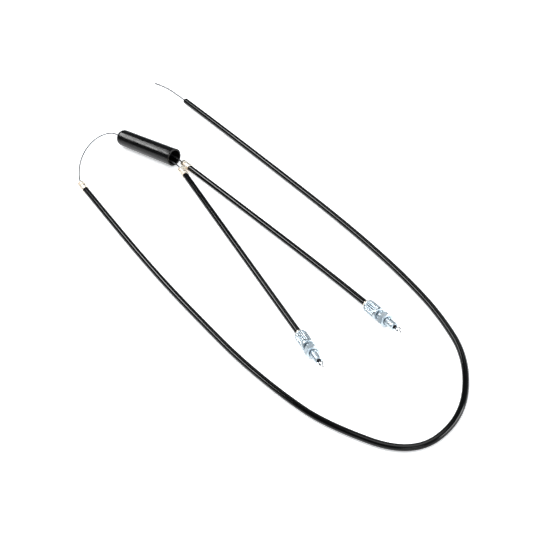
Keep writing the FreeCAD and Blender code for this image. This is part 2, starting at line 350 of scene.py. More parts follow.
liner_nylon, tree, shader = start_finish(
    "extruded_natural_nylon",
    {"Base Color": linear("#e6e2d4"), "Roughness": 0.34, "IOR": 1.53, "Subsurface Weight": 0.15},
)
surface = add(tree, "ShaderNodeTexCoord", {})
cloud = add(
    tree, "ShaderNodeTexNoise", {"Vector": surface.outputs["Object"], "Scale": per_mm(1.5), "Detail": 3.0}
)
milk = add(
    tree,
    "ShaderNodeMix",
    {0: cloud.outputs[0], 6: linear("#d8d3c2"), 7: linear("#f1eee4")},
    data_type="RGBA",
)
tree.links.new(milk.outputs[2], shader.inputs["Base Color"])

wire_steel, tree, shader = start_finish(
    "galvanised_strand", {"Base Color": linear("#98999c"), "Metallic": 1.0, "Roughness": 0.36}
)
surface = add(tree, "ShaderNodeTexCoord", {})
spangle = add(
    tree,
    "ShaderNodeTexNoise",
    {"Vector": surface.outputs["Object"], "Scale": per_mm(2.5), "Detail": 4.0, "Roughness": 0.7},
)
zinc_tone = add(
    tree,
    "ShaderNodeMix",
    {0: spangle.outputs[0], 6: linear("#7a7b7f"), 7: linear("#aeaeb0")},
    data_type="RGBA",
)
wipe = add(
    tree,
    "ShaderNodeMapRange",
    {"Value": spangle.outputs[0], "From Min": 0.3, "From Max": 0.7, "To Min": 0.3, "To Max": 0.46},
)
tree.links.new(zinc_tone.outputs[2], shader.inputs["Base Color"])
tree.links.new(wipe.outputs[0], shader.inputs["Roughness"])
print(conduit_steel.name, liner_nylon.name, wire_steel.name)

# %% [markdown]
# ## Tube and slider plastics
# The junction tube is moulded in dark filled nylon. A spark-eroded mould leaves it satin, with a
# grain of about a fifth of a millimetre, and its index is set low as the jacket's is. The slider
# inside is turned from grey acetal, which is a little rougher and lighter.

# %% Moulded nylon and turned acetal
splitter_nylon, tree, shader = start_finish(
    "moulded_black_nylon", {"Base Color": linear("#0f0e0e"), "Roughness": 0.22, "IOR": 1.4}
)
surface = add(tree, "ShaderNodeTexCoord", {})
grain = add(
    tree,
    "ShaderNodeTexNoise",
    {"Vector": surface.outputs["Object"], "Scale": per_mm(0.22), "Detail": 2.0},
)
flow = add(
    tree,
    "ShaderNodeTexNoise",
    {"Vector": surface.outputs["Object"], "Scale": per_mm(9.0), "Detail": 3.0, "Distortion": 0.6},
)
satin = add(
    tree,
    "ShaderNodeMapRange",
    {"Value": flow.outputs[0], "From Min": 0.3, "From Max": 0.7, "To Min": 0.17, "To Max": 0.25},
)
shade = add(
    tree,
    "ShaderNodeMix",
    {0: flow.outputs[0], 6: linear("#0b0a0a"), 7: linear("#131111")},
    data_type="RGBA",
)
erosion = add(
    tree, "ShaderNodeBump", {"Height": grain.outputs[0], "Strength": 0.05, "Distance": 0.006 * MM}
)
tree.links.new(satin.outputs[0], shader.inputs["Roughness"])
tree.links.new(shade.outputs[2], shader.inputs["Base Color"])
tree.links.new(erosion.outputs[0], shader.inputs["Normal"])

slider_acetal, tree, shader = start_finish(
    "turned_grey_acetal", {"Base Color": linear("#2b2b2d"), "Roughness": 0.3, "IOR": 1.48}
)
surface = add(tree, "ShaderNodeTexCoord", {})
# turning marks run round the slider, 0.2 mm apart along its length
tool_marks = add(
    tree,
    "ShaderNodeTexWave",
    {"Vector": surface.outputs["Object"], "Scale": bands_per_mm(0.2), "Distortion": 0.5, "Detail": 2.0},
    wave_type="BANDS",
    bands_direction="X",
)
turned_skin = add(
    tree, "ShaderNodeBump", {"Height": tool_marks.outputs[1], "Strength": 0.3, "Distance": 0.01 * MM}
)
rubbed = add(
    tree,
    "ShaderNodeMapRange",
    {"Value": tool_marks.outputs[1], "To Min": 0.24, "To Max": 0.36},
)
tree.links.new(turned_skin.outputs[0], shader.inputs["Normal"])
tree.links.new(rubbed.outputs[0], shader.inputs["Roughness"])
print(splitter_nylon.name, slider_acetal.name)

# %% [markdown]
# ## Plated metals
# The adjusters and lock nuts are steel with a bright zinc plating, which has a cold blue cast
# with warmer clouds in it. The ferrules are thin brass cups whose nickel is wearing, so tan
# shows through in patches. The balls are polished bright, and the drums inside are plain brass.

# %% Zinc, nickel, polish and brass
zinc_plate, tree, shader = start_finish(
    "bright_zinc_plate", {"Base Color": linear("#bcc6ce"), "Metallic": 1.0, "Roughness": 0.2}
)
surface = add(tree, "ShaderNodeTexCoord", {})
passivation = add(
    tree,
    "ShaderNodeTexNoise",
    {"Vector": surface.outputs["Object"], "Scale": per_mm(5.0), "Detail": 3.0, "Distortion": 0.8},
)
cast = add(
    tree,
    "ShaderNodeMix",
    {0: passivation.outputs[0], 6: linear("#b3c7d6"), 7: linear("#d8dad8")},
    data_type="RGBA",
)
# painted shade: the plating's colour goes to dark grey where occlusion is high, in the knurl's valleys
# and against the nut
sheltered = add(tree, "ShaderNodeAmbientOcclusion", {"Distance": 1.2 * MM}, samples=8)
open_share = add(
    tree,
    "ShaderNodeMapRange",
    {"Value": sheltered.outputs["AO"], "From Min": 0.35, "From Max": 0.9, "To Min": 0.0, "To Max": 1.0},
)
painted_valley_shade = add(
    tree,
    "ShaderNodeMix",
    {0: open_share.outputs[0], 6: linear("#5b6770"), 7: cast.outputs[2]},
    data_type="RGBA",
)
bath_grain = add(
    tree,
    "ShaderNodeTexNoise",
    {"Vector": surface.outputs["Object"], "Scale": per_mm(0.3), "Detail": 3.0},
)
polish = add(
    tree,
    "ShaderNodeMapRange",
    {"Value": bath_grain.outputs[0], "From Min": 0.3, "From Max": 0.7, "To Min": 0.3, "To Max": 0.42},
)
plating = add(
    tree, "ShaderNodeBump", {"Height": bath_grain.outputs[0], "Strength": 0.1, "Distance": 0.004 * MM}
)
tree.links.new(painted_valley_shade.outputs[2], shader.inputs["Base Color"])
tree.links.new(polish.outputs[0], shader.inputs["Roughness"])
tree.links.new(plating.outputs[0], shader.inputs["Normal"])

ferrule_nickel, tree, shader = start_finish(
    "worn_nickel_on_brass", {"Base Color": linear("#d6cec0"), "Metallic": 1.0, "Roughness": 0.26}
)
surface = add(tree, "ShaderNodeTexCoord", {})
wear = add(
    tree,
    "ShaderNodeTexNoise",
    {"Vector": surface.outputs["Object"], "Scale": per_mm(3.0), "Detail": 4.0, "Roughness": 0.65},
)
worn_share = add(
    tree,
    "ShaderNodeMapRange",
    {"Value": wear.outputs[0], "From Min": 0.5, "From Max": 0.68, "To Min": 0.0, "To Max": 0.75},
)
two_metals = add(
    tree,
    "ShaderNodeMix",
    {0: worn_share.outputs[0], 6: linear("#efe9de"), 7: linear("#d0aa7c")},
    data_type="RGBA",
)
handled = add(
    tree,
    "ShaderNodeMapRange",
    {"Value": wear.outputs[0], "From Min": 0.3, "From Max": 0.7, "To Min": 0.36, "To Max": 0.5},
)
tree.links.new(two_metals.outputs[2], shader.inputs["Base Color"])
tree.links.new(handled.outputs[0], shader.inputs["Roughness"])

ball_polish, tree, shader = start_finish(
    "polished_nickel", {"Base Color": linear("#ecebea"), "Metallic": 1.0, "Roughness": 0.15}
)
surface = add(tree, "ShaderNodeTexCoord", {})
smear = add(
    tree,
    "ShaderNodeTexNoise",
    {"Vector": surface.outputs["Object"], "Scale": per_mm(1.2), "Detail": 3.0},
)
buffed = add(
    tree,
    "ShaderNodeMapRange",
    {"Value": smear.outputs[0], "From Min": 0.3, "From Max": 0.7, "To Min": 0.12, "To Max": 0.24},
)
tree.links.new(buffed.outputs[0], shader.inputs["Roughness"])

drum_brass, tree, shader = start_finish(
    "plain_brass", {"Base Color": linear("#b9975a"), "Metallic": 1.0, "Roughness": 0.34}
)
surface = add(tree, "ShaderNodeTexCoord", {})
tarnish = add(
    tree,
    "ShaderNodeTexNoise",
    {"Vector": surface.outputs["Object"], "Scale": per_mm(1.8), "Detail": 4.0},
)
dulled = add(
    tree,
    "ShaderNodeMix",
    {0: tarnish.outputs[0], 6: linear("#8d7142"), 7: linear("#c9a869")},
    data_type="RGBA",
)
tree.links.new(dulled.outputs[2], shader.inputs["Base Color"])
print(zinc_plate.name, ferrule_nickel.name, ball_polish.name, drum_brass.name)

# %% [markdown]
# ## Rolling a sheet round a line
# A casing or a wire could be a curve with a round bevel, but a bevel can't carry ribs, strands or
# a hollow cut end. So a flat grid is rolled round the line instead: its columns become the way
# round and its rows become stations along. A station has a distance and a radius, so a run of
# stations out along the outside and back along the bore makes one closed, hollow tube.

# %% Rolled tubes
WELD_DISTANCE = 1e-6
SHARP_ANGLE = math.radians(35)


def make_piece(name, bm, finish, body, slot_name, *nodes):
    """The finished mesh as a piece that rides on its body and stands for these nodes."""
    bmesh.ops.remove_doubles(bm, verts=bm.verts, dist=WELD_DISTANCE)
    bmesh.ops.recalc_face_normals(bm, faces=bm.faces)
    mesh = bpy.data.meshes.new(name)
    bm.to_mesh(mesh)
    bm.free()
    mesh.polygons.foreach_set("use_smooth", [True] * len(mesh.polygons))
    mesh.set_sharp_from_angle(angle=SHARP_ANGLE)
    mesh.materials.append(finish)
    piece = bpy.data.objects.new(name, mesh)
    bpy.context.scene.collection.objects.link(piece)
    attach(piece, body)
    if nodes:
        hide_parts(*nodes)
    print(name, len(mesh.polygons), "faces on", body)
    return piece


def roll(line, stations, around, section=None, lay=None):
    """A bmesh of a grid rolled round a line. The section gives a share of the radius at an
    angle and a distance, and the lay is the length in which the strands go once round."""
    bm = bmesh.new()
    uv_layer = bm.loops.layers.uv.verify()
    rows = len(stations) - 1
    bmesh.ops.create_grid(bm, x_segments=around, y_segments=rows, size=1.0)
    spots = {}
    for vert in bm.verts:
        column = round((vert.co.x + 1) / 2 * around)
        row = round((vert.co.y + 1) / 2 * rows)
        spots[vert] = (column, row)
    rings = []
    for distance, radius in stations:
        along = line.heading(distance)
        side = along.cross(UP).normalized()
        rings.append((line.at(distance), side, side.cross(along), distance, radius))
    for vert, (column, row) in spots.items():
        centre, side, over, distance, radius = rings[row]
        angle = 2 * math.pi * column / around
        share = section(angle, distance) if section else 1.0
        turn = angle + (2 * math.pi * distance / lay if lay else 0.0)
        vert.co = centre + (side * math.cos(turn) + over * math.sin(turn)) * radius * share
    for face in bm.faces:
        for loop in face.loops:
            column, row = spots[loop.vert]
            widest = max(rings[row][4], MM)
            loop[uv_layer].uv = (2 * math.pi * widest * column / around, rings[row][3])
    return bm


def steps_between(start, end, step):
    """Distances from start to end, evenly spaced and about a step apart."""
    count = max(1, round(abs(end - start) / step))
    return [start + (end - start) * i / count for i in range(count + 1)]


def hollow(start, end, outer, inner, step, back_step):
    """Stations out along the outside and back along the bore, closed at both ends."""
    out = [(distance, outer) for distance in steps_between(start, end, step)]
    back = [(distance, inner) for distance in steps_between(end, start, back_step)]
    return out + back + [out[0]]


def solid(start, end, radius, step):
    """Stations of a solid rod with closed ends."""
    run = [(distance, radius) for distance in steps_between(start, end, step)]
    return [(start, 0.0), *run, (end, 0.0)]


# %% [markdown]
# ## Casings
# Each casing is three layers: the jacket, the winding and the liner. Where the casing bends, the
# jacket is pulled down on the winding and the coils show as faint ribs, one every 1.25 mm. On a
# straight run they all but vanish. So the ribs are in the shape, with a depth that follows the
# bend, and four rings to each rib are enough to carry the light along them.

# %% Casings
RIB_PITCH = 1.25 * MM
RIB_STRAIGHT = 0.0008
RIB_BENT = 0.012
RIB_FULL_BEND = 22.0
# the outer radius of each layer, and the liner's bore
SHEATH, CONDUIT, LINER, LINER_BORE = 2.5 * MM, 1.9 * MM, 1.3 * MM, 1.0 * MM
PLAIN_STEP = 4 * MM
BEND_STEP = 2 * MM
PATH_STEP = 1 * MM
LONG_COLUMNS = 20
BRANCH_COLUMNS = 24
WINDING_COLUMNS = 20
LINER_COLUMNS = 16


def ribs(line):
    """The section of a jacket whose ribs deepen where its line bends."""
    count = int(line.length / BEND_STEP) + 1
    bends = [line.bend(min(i * BEND_STEP, line.length)) for i in range(count + 1)]

    def share(angle, distance):
        bend = bends[min(round(distance / BEND_STEP), count)]
        depth = RIB_STRAIGHT + RIB_BENT * min(bend / RIB_FULL_BEND, 1.0)
        wave = (1 + math.cos(2 * math.pi * distance / RIB_PITCH)) / 2
        return 1.0 - depth * wave

    return share


def casing(prefix, line, around):
    """The three layers of a casing, jacket first."""
    stations = hollow(0.0, line.length, SHEATH, CONDUIT, RIB_PITCH / 4, PLAIN_STEP)
    bm = roll(line, stations, around, ribs(line))
    jacket = make_piece(
        f"{prefix}_casing_jacket", bm, casing_pvc, "casings", "black_pvc", f"{prefix}_casing_sheath"
    )
    stations = hollow(0.0, line.length, CONDUIT, LINER, PLAIN_STEP, PLAIN_STEP)
    winding = make_piece(
        f"{prefix}_casing_winding",
        roll(line, stations, WINDING_COLUMNS),
        conduit_steel,
        "casings",
        "conduit_steel",
        f"{prefix}_casing_conduit",
    )
    stations = hollow(0.0, line.length, LINER, LINER_BORE, PLAIN_STEP, PLAIN_STEP)
    tube = make_piece(
        f"{prefix}_casing_tube",
        roll(line, stations, LINER_COLUMNS),
        liner_nylon,
        "casings",
        "nylon_liner",
        f"{prefix}_casing_liner",
    )
    return jacket, winding, tube


def path_of(line):
    return [line.at(distance) for distance in steps_between(0.0, line.length, PATH_STEP)]


long_jacket, *long_layers = casing("long", long_line, LONG_COLUMNS)
path_of(long_line)
for side, line in branch_lines.items():
    jacket, *layers = casing(side, line, BRANCH_COLUMNS)
    path_of(line)

# %% [markdown]
# ## Inner wires
# The wire is a 1 by 19 strand: twelve outer wires lie round the middle ones and go once round in
# 14 mm. Nineteen separate wires would be thousands of faces that nobody sees, so one rod is
# rolled with twelve lobes round it, and the lay twists them.

# %% Strands
WIRE_RADIUS = 0.6 * MM
OUTER_STRANDS = 12
STRAND_COLUMNS = OUTER_STRANDS * 4
STRAND_LAY = 14 * MM
SEEN_STEP = 0.8 * MM
HIDDEN_STEP = 2 * MM
half_strand = math.pi / OUTER_STRANDS
STRAND_SHARE = math.sin(half_strand) / (1 + math.sin(half_strand))


def lobes(angle, distance):
    """The share of the wire's radius at an angle: the outside of twelve touching strands."""
    pitch = 2 * half_strand
    off = (angle + half_strand) % pitch - half_strand
    centre = 1 - STRAND_SHARE
    inside = STRAND_SHARE**2 - (centre * math.sin(off)) ** 2
    return centre * math.cos(off) + math.sqrt(max(inside, 0.0))


def strand(name, line, start, end, step, body, *nodes):
    bm = roll(line, solid(start, end, WIRE_RADIUS, step), STRAND_COLUMNS, lobes, STRAND_LAY)
    return make_piece(name, bm, wire_steel, body, "wire_steel", *nodes)


def route_vectors(route):
    return [Vector(place) for place in route]


# the pull wire: its bare end slides, and the rest lies in the casing and the slack loop
first, second = route_vectors(LONG_ROUTE[:2])
inward = (second - first).normalized()
inside = first + inward * PULL_END_INSIDE
tail_line = line_of("pull_wire_tail", [inside, *PULL_TAIL])
tail = strand(
    "pull_wire_tail", tail_line, 0.0, tail_line.length, SEEN_STEP, "pull_end", "pull_wire_end"
)
path_of(tail_line)
strand(
    "pull_wire_in_casing",
    long_line,
    PULL_END_INSIDE + WIRE_GAP,
    long_line.length,
    HIDDEN_STEP,
    "casings",
    "pull_wire_core",
)

before, last = route_vectors(LONG_ROUTE[-2:])
loop_lead = last + (last - before).normalized() * FERRULE_LEAD
drum_low, drum_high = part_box("pull_wire_nipple")
loop_end = Vector(
    (drum_low.x - WIRE_GAP, (drum_low.y + drum_high.y) / 2, (drum_low.z + drum_high.z) / 2)
)
loop_line = line_of("slack_loop", [last, loop_lead, *LOOP_BENDS, loop_end])
loop = strand(
    "slack_loop", loop_line, 0.0, loop_line.length, SEEN_STEP, "casings", "slack_loop_wire"
)
path_of(loop_line)

# %% [markdown]
# ## Branch wires
# A branch wire fans out from its drum to its casing and runs on inside it. Its far end slides
# with the ball, so the run in the casing stops a hair short of the sliding piece.

# %% Branch wires
# how far the sliding wire starts behind its ferrule, and the casing's part inside a ferrule
BALL_WIRE_INSIDE = 16 * MM
FERRULE_SEAT = 10 * MM


def branch_wires(side):
    """The wire from the slider to its casing, and on through the casing."""
    low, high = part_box(f"{side}_slider_nipple")
    start = Vector((high.x + WIRE_GAP, (low.y + high.y) / 2, (low.z + high.z) / 2))
    casing_start, casing_next = route_vectors(BRANCH_ROUTES[side][:2])
    lead = casing_start - (casing_next - casing_start).normalized() * LEADS[side]
    fan = line_of(f"{side}_branch_wire", [start, *FANS[side], lead, casing_start])
    wire = strand(
        f"{side}_wire_at_mouth", fan, 0.0, fan.length, SEEN_STEP, "casings", f"{side}_branch_wire"
    )
    path_of(fan)
    line = branch_lines[side]
    end = line.length - FERRULE_SEAT - BALL_WIRE_INSIDE - WIRE_GAP
    strand(f"{side}_wire_in_casing", line, 0.0, end, HIDDEN_STEP, "casings")


for side in BRANCH_ROUTES:
    branch_wires(side)

# %% [markdown]
# ## Turning on a lathe
# Ferrules, adjusters, nuts and balls are all turned pieces. Each is drawn as half its section, a
# closed outline of (distance along the axis, radius), and spun once round. What isn't round, the
# knurl, the thread and the hexagon, is then pressed into the turned blank by moving its points
# in or out, as a knurling wheel or a die does.

# %% Lathe
AXIS = Vector((1, 0, 0))
# a point this near a radius, in millimetres, is taken to be on it
TOUCH = 0.01
ROUND_SEGMENTS = 64


def standing(start, direction):
    """The place of a turned piece whose axis leaves a start in a direction."""
    along = Vector(direction).normalized()
    side = UP.cross(along).normalized()
    over = along.cross(side)
    turn = Matrix((along, side, over)).transposed().to_4x4()
    return Matrix.Translation(start) @ turn


def arc(centre, radius, from_degrees, to_degrees, count):
    """Points of a round stretch of an outline, in millimetres."""
    points = []
    for i in range(count + 1):
        angle = math.radians(from_degrees + (to_degrees - from_degrees) * i / count)
        points.append((centre[0] + radius * math.cos(angle), centre[1] + radius * math.sin(angle)))
    return points


def turned(outline, segments, press=None):
    """A bmesh of a closed outline in millimetres spun round the axis. The press gives a new
    radius for a point from its distance, radius and angle."""
    bm = bmesh.new()
    verts = [bm.verts.new((x * MM, r * MM, 0.0)) for x, r in outline]
    edges = [bm.edges.new(pair) for pair in zip(verts, verts[1:] + verts[:1])]
    bmesh.ops.spin(
        bm,
        geom=verts + edges,
        cent=(0, 0, 0),
        axis=AXIS,
        angle=2 * math.pi,
        steps=segments,
        use_merge=True,
    )
    if press:
        for vert in bm.verts:
            radius = math.hypot(vert.co.y, vert.co.z)
            angle = math.atan2(vert.co.z, vert.co.y)
            share = press(vert.co.x / MM, radius / MM, angle) * MM / radius
            vert.co.y *= share
            vert.co.z *= share
    return bm


def place(bm, start, direction):
    bmesh.ops.transform(bm, matrix=standing(start, direction), verts=bm.verts)
    return bm


# %% [markdown]
# ## Ferrules
# A ferrule is a thin cup pressed over the end of a casing. Three rolled grooves grip the jacket,
# the open edge and the closed end are rounded, and the end has a hole for the wire. A groove
# drawn as an arc in the outline costs nothing and catches the light as a rolled one does.

# %% Ferrules
FERRULE_LENGTH = 12.0
FERRULE_RADIUS = 3.0
FERRULE_BORE = 2.52
FERRULE_HOLE = 0.9
FERRULE_CORNER = 0.8
GROOVES_AT = (1.9, 6.2, 8.4)
CUP_DEPTH = 10.0
GROOVE_DEPTH = 0.32
GROOVE_WIDTH = 1.1


def groove(x):
    """A rolled groove in a ferrule's wall, centred at x."""
    radius = (GROOVE_DEPTH**2 + (GROOVE_WIDTH / 2) ** 2) / (2 * GROOVE_DEPTH)
    half = math.degrees(math.asin(GROOVE_WIDTH / 2 / radius))
    centre = (x, FERRULE_RADIUS - GROOVE_DEPTH + radius)
    return arc(centre, radius, 270 - half, 270 + half, 6)


FERRULE_OUTLINE = [
    (0.0, FERRULE_BORE),
    (0.0, FERRULE_RADIUS - 0.2),
    *arc((0.25, FERRULE_RADIUS - 0.25), 0.25, 180, 90, 3),
    *[point for x in GROOVES_AT for point in groove(x)],
    *arc((FERRULE_LENGTH - FERRULE_CORNER, FERRULE_RADIUS - FERRULE_CORNER), FERRULE_CORNER, 90, 0, 5),
    (FERRULE_LENGTH, FERRULE_HOLE + 0.25),
    (FERRULE_LENGTH - 0.2, FERRULE_HOLE),
    (CUP_DEPTH, FERRULE_HOLE),
    (CUP_DEPTH, FERRULE_BORE),
]


def ferrule(name, point, direction):
    """A ferrule on a casing that ends at the point, against the cup's closed end."""
    start = Vector(point) - Vector(direction).normalized() * FERRULE_SEAT
    bm = place(turned(FERRULE_OUTLINE, ROUND_SEGMENTS), start, direction)
    return make_piece(f"{name}_cup", bm, ferrule_nickel, "casings", "ferrule_nickel", name)


ferrule("long_casing_ferrule", last, last - before)
for side, route in BRANCH_ROUTES.items():
    points = route_vectors(route)
    ferrule(f"{side}_splitter_ferrule", points[0], points[0] - points[1])
    ferrule(f"{side}_adjuster_ferrule", points[-1], points[-1] - points[-2])

# %% [markdown]
# ## Junction tube
# The tube is one moulding with a domed end, a small hole in the dome for the pull wire, and an
# open mouth. It is drafted, so it is a little wider at the mouth and leaves its mould, and two
# faint parting lines run along its sides. A spun outline gives the tube, and the parting lines
# are two columns of points pressed outwards by four hundredths of a millimetre.

# %% Junction tube
tube_low, tube_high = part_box("splitter_body")
TUBE_LENGTH = (tube_high.x - tube_low.x) / MM
MOUTH_RADIUS = (tube_high.z - tube_low.z) / 2 / MM
DOME_RADIUS = 5.6
CLOSED_RADIUS = 7.2
TUBE_BORE = 6.2
END_WALL = 3.5
TUBE_HOLE = 1.2
LIP_RADIUS = 0.4
LIP_INNER_RADIUS = 0.35
PARTING = 0.04
TUBE_SEGMENTS = 96

TUBE_OUTLINE = [
    (0.15, TUBE_HOLE),
    (0.0, TUBE_HOLE + 0.15),
    *arc((DOME_RADIUS, CLOSED_RADIUS - DOME_RADIUS), DOME_RADIUS, 180, 90, 14),
    *[
        (x, CLOSED_RADIUS + (MOUTH_RADIUS - CLOSED_RADIUS) * x / TUBE_LENGTH)
        for x in steps_between(12.0, TUBE_LENGTH - 0.5, 6.0)
    ],
    *arc((TUBE_LENGTH - LIP_RADIUS, MOUTH_RADIUS - LIP_RADIUS), LIP_RADIUS, 75, 0, 4),
    *arc((TUBE_LENGTH - LIP_INNER_RADIUS, TUBE_BORE + LIP_INNER_RADIUS), LIP_INNER_RADIUS, 0, -90, 4),
    *[(x, TUBE_BORE) for x in steps_between(TUBE_LENGTH - 6.0, END_WALL + 1.0, 8.0)],
    *arc((END_WALL + 1.0, TUBE_BORE - 1.0), 1.0, 90, 180, 4)[1:],
    (END_WALL, TUBE_HOLE),
]


def parting_lines(x, radius, angle):
    """Raises a thin line along each side of the tube's outside."""
    on_outside = radius > TUBE_BORE + 0.5 and 3.0 < x < TUBE_LENGTH - 0.5
    on_line = abs(math.sin(angle)) < math.sin(math.pi / TUBE_SEGMENTS)
    return radius + PARTING if on_outside and on_line else radius


tube_tip = Vector((tube_low.x, (tube_low.y + tube_high.y) / 2, (tube_low.z + tube_high.z) / 2))
bm = place(turned(TUBE_OUTLINE, TUBE_SEGMENTS, parting_lines), tube_tip, AXIS)
make_piece("junction_tube", bm, splitter_nylon, "casings", "splitter_plastic", "splitter_body")

# %% [markdown]
# ## Adjusters
# An adjuster is one turned piece: a barrel to grip, with straight knurling, and an M6 shank that
# screws into the carburettor. Its back is bored for the ferrule. The knurl is 18 rounded ridges
# with narrow valleys. The thread is rolled, so its crests are flat and its flanks soft, and it
# needs a ring of points every eighth of its 1 mm pitch.

# %% Adjusters
BARREL_START, BARREL_END = 3.0, 18.0
BARREL_RADIUS = 5.0
SEAT_RADIUS, SEAT_END = 3.1, 12.1
SHANK_RADIUS, SHANK_END = 3.0, 37.7
SHANK_BORE = 1.7
KNURLS = 18
KNURL_DEPTH = 0.5
KNURL_START, KNURL_END = 4.3, 15.9
KNURL_RUNOUT = 0.6
THREAD_PITCH = 1.0
THREAD_DEPTH = 0.12
THREAD_START, THREAD_END = 19.0, 37.1
THREAD_RUNOUT = 0.6
# shares of half the pitch: where a crest ends, and the width of the flank after it
CREST_END, FLANK_WIDTH = 0.7, 0.25
ADJUSTER_SEGMENTS = KNURLS * 8

ADJUSTER_OUTLINE = [
    (BARREL_START + 0.2, SEAT_RADIUS),
    (BARREL_START, SEAT_RADIUS + 0.2),
    (BARREL_START, 4.0),
    *arc((BARREL_START + 0.9, BARREL_RADIUS - 0.9), 0.9, 170, 90, 6),
    *[(x, BARREL_RADIUS) for x in steps_between(KNURL_START, KNURL_START + KNURL_RUNOUT, 0.15)],
    *[(x, BARREL_RADIUS) for x in steps_between(5.5, 14.7, 1.5)],
    *[(x, BARREL_RADIUS) for x in steps_between(KNURL_END - KNURL_RUNOUT, KNURL_END, 0.15)],
    *arc((BARREL_END - 0.5, BARREL_RADIUS - 0.5), 0.5, 90, 0, 5),
    (BARREL_END, 3.7),
    (BARREL_END - 0.25, 3.45),
    (BARREL_END - 0.25, 3.05),
    *arc((BARREL_END + 0.05, SHANK_RADIUS), 0.3, 180, 270, 3)[2:],
    *[(x, SHANK_RADIUS) for x in steps_between(BARREL_END + 0.7, THREAD_END, THREAD_PITCH / 8)],
    (SHANK_END - 0.1, SHANK_RADIUS - 0.45),
    (SHANK_END, SHANK_RADIUS - 0.55),
    (SHANK_END, SHANK_BORE + 0.25),
    (SHANK_END - 0.25, SHANK_BORE),
    (SEAT_END + 0.4, SHANK_BORE),
    (SEAT_END, SHANK_BORE + 0.4),
    (SEAT_END, SEAT_RADIUS),
]


def fade(x, start, end, runout):
    """Zero outside a stretch, one inside it, and a slope between."""
    return max(0.0, min((x - start) / runout, (end - x) / runout, 1.0))


def knurl_and_thread(x, radius, angle):
    """The barrel's outside takes the knurl, and the shank's outside takes the thread."""
    if radius > BARREL_RADIUS - TOUCH:
        valley = abs(math.sin(angle * KNURLS / 2))
        depth = KNURL_DEPTH * fade(x, KNURL_START, KNURL_END, KNURL_RUNOUT)
        return radius - depth * (1 - valley)
    if radius > SHANK_RADIUS - TOUCH and x > BARREL_END + 0.5:
        turns = x / THREAD_PITCH - angle / (2 * math.pi)
        from_crest = abs(turns % 1.0 - 0.5) * 2
        flank = min(max((from_crest - CREST_END) / FLANK_WIDTH, 0.0), 1.0)
        start, end = THREAD_START - THREAD_RUNOUT, THREAD_END + THREAD_RUNOUT / 2
        return radius - THREAD_DEPTH * flank * fade(x, start, end, THREAD_RUNOUT)
    return radius


# %% [markdown]
# ## Lock nuts
# A nut starts as a turned blank too. Its corners are cut off at 30 degrees, which leaves the
# curved edges on each flat, and its bore is countersunk. The hexagon comes from pressing every
# outside point in to the nearer of the flat and the turned cone, so those curves come by
# themselves. Six narrow steps near each face are enough for them.

# %% Lock nuts
NUT_FLATS = 10.0
NUT_LENGTH = 5.0
NUT_CORNER = NUT_FLATS / 2 / math.cos(math.pi / 6)
NUT_BORE = 3.05
NUT_FACE_RADIUS = 4.8
NUT_CONE = (NUT_CORNER - NUT_FACE_RADIUS) * math.tan(math.pi / 6)
NUT_SEGMENTS = 96
NUT_COUNTERSINK = 0.35
FACE_STEPS = 6

face_steps = steps_between(0.0, NUT_CONE, NUT_CONE / FACE_STEPS)
cone = [
    (x, NUT_FACE_RADIUS + (NUT_CORNER - NUT_FACE_RADIUS) * x / NUT_CONE) for x in face_steps
]
NUT_OUTLINE = [
    (NUT_COUNTERSINK, NUT_BORE),
    (0.0, NUT_BORE + NUT_COUNTERSINK),
    *cone,
    (NUT_LENGTH / 2, NUT_CORNER),
    *[(NUT_LENGTH - x, r) for x, r in reversed(cone)],
    (NUT_LENGTH, NUT_BORE + NUT_COUNTERSINK),
    (NUT_LENGTH - NUT_COUNTERSINK, NUT_BORE),
]


def hexagon(x, radius, angle):
    """A point outside the face's round land is pressed in to the nearer flat."""
    if radius < NUT_FACE_RADIUS - TOUCH:
        return radius
    from_flat = angle % (math.pi / 3) - math.pi / 6
    return min(radius, NUT_FLATS / 2 / math.cos(from_flat))


# %% [markdown]
# ## Ball nipples
# The wire goes through the ball and is soldered in, and its end stands 0.3 mm inside the
# ball's front. A ball with a hole is a half circle closed by a straight bore, spun round.

# %% Adjusters, nuts, balls and their wires in place
BALL_RADIUS = 2.5
BALL_CENTRE = 42.5
BALL_HOLE = 0.62
WIRE_PAST = 2.2
HOLE_EDGE = math.degrees(math.asin(BALL_HOLE / BALL_RADIUS))
BALL_OUTLINE = arc((0.0, 0.0), BALL_RADIUS, 180 - HOLE_EDGE, HOLE_EDGE, 40)
# from the barrel to the nut, in millimetres
NUT_GAPS = {"left": 4.0, "right": 4.8}


def screw_end(side):
    """The adjuster, lock nut, ball and sliding wire at the end of one branch."""
    joint = joints[f"{side}_adjuster_turn"]
    along = Vector(joint["axis"]).normalized()
    ferrule_start = Vector(joint["pos_m"]) - along * FERRULE_SEAT
    bm = place(turned(ADJUSTER_OUTLINE, ADJUSTER_SEGMENTS, knurl_and_thread), ferrule_start, along)
    make_piece(
        f"{side}_knurled_adjuster", bm, zinc_plate, f"{side}_adjuster", "zinc_plate", f"{side}_adjuster"
    )
    nut_start = ferrule_start + along * (BARREL_END + NUT_GAPS[side]) * MM
    bm = place(turned(NUT_OUTLINE, NUT_SEGMENTS, hexagon), nut_start, along)
    make_piece(
        f"{side}_hex_nut", bm, zinc_plate, f"{side}_lock_nut", "zinc_plate", f"{side}_lock_nut"
    )
    bm = place(turned(BALL_OUTLINE, ROUND_SEGMENTS), ferrule_start + along * BALL_CENTRE * MM, along)
    make_piece(
        f"{side}_ball", bm, ball_polish, f"{side}_wire", "ball_plate", f"{side}_ball_nipple"
    )
    start = ferrule_start - along * BALL_WIRE_INSIDE
    end = ferrule_start + along * (BALL_CENTRE + WIRE_PAST) * MM
    straight = Line([start, end])
    strand(
        f"{side}_sliding_wire", straight, 0.0, straight.length, MM, f"{side}_wire", f"{side}_wire_end"
    )


for side in BRANCH_ROUTES:
    screw_end(side)

